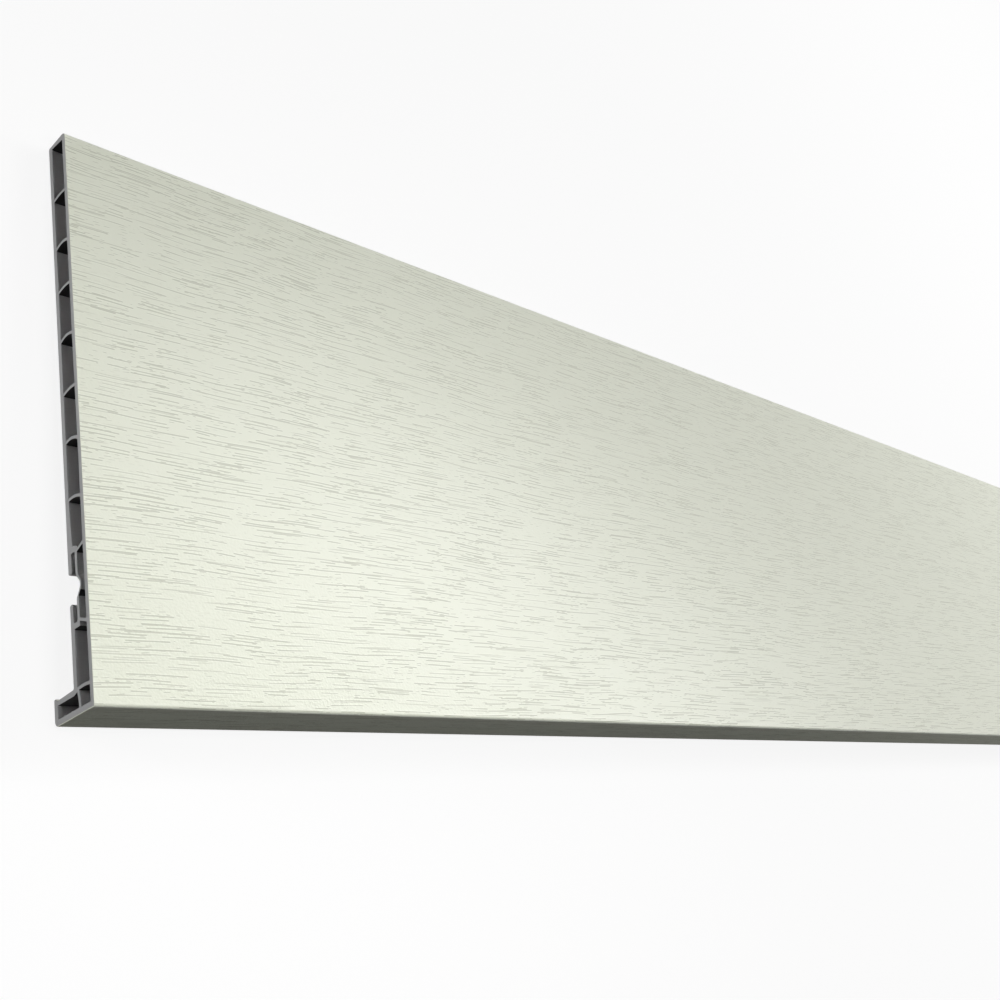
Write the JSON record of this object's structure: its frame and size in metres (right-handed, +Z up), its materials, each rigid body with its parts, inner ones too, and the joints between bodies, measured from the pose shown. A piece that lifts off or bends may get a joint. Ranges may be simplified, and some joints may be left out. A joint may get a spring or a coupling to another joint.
{
  "type": "hollow fascia board",
  "caption": "Hollow extruded fascia board with a woodgrain face, arched webs between its skins, a clip slot in its back and a leg along its lower edge for soffit panels.",
  "frame": {"origin": "centre of the board's footprint, on the floor that it lies on", "axes": "+X along the length; +Y across the board, from the leg to the top edge; +Z up, out of the weather face. It lies face up on the upstand of its leg and the back corner of its top edge, so the face leans 3.58 degrees down towards +Y"},
  "size_m": [4, 0.3012, 0.0356],
  "materials": {
    "board": "rigid PVC, cream white, embossed woodgrain on the face and leg, plain grey-white inside"
  },
  "bodies": {
    "root": {"fascia_board": "board"}
  },
  "joints": []
}
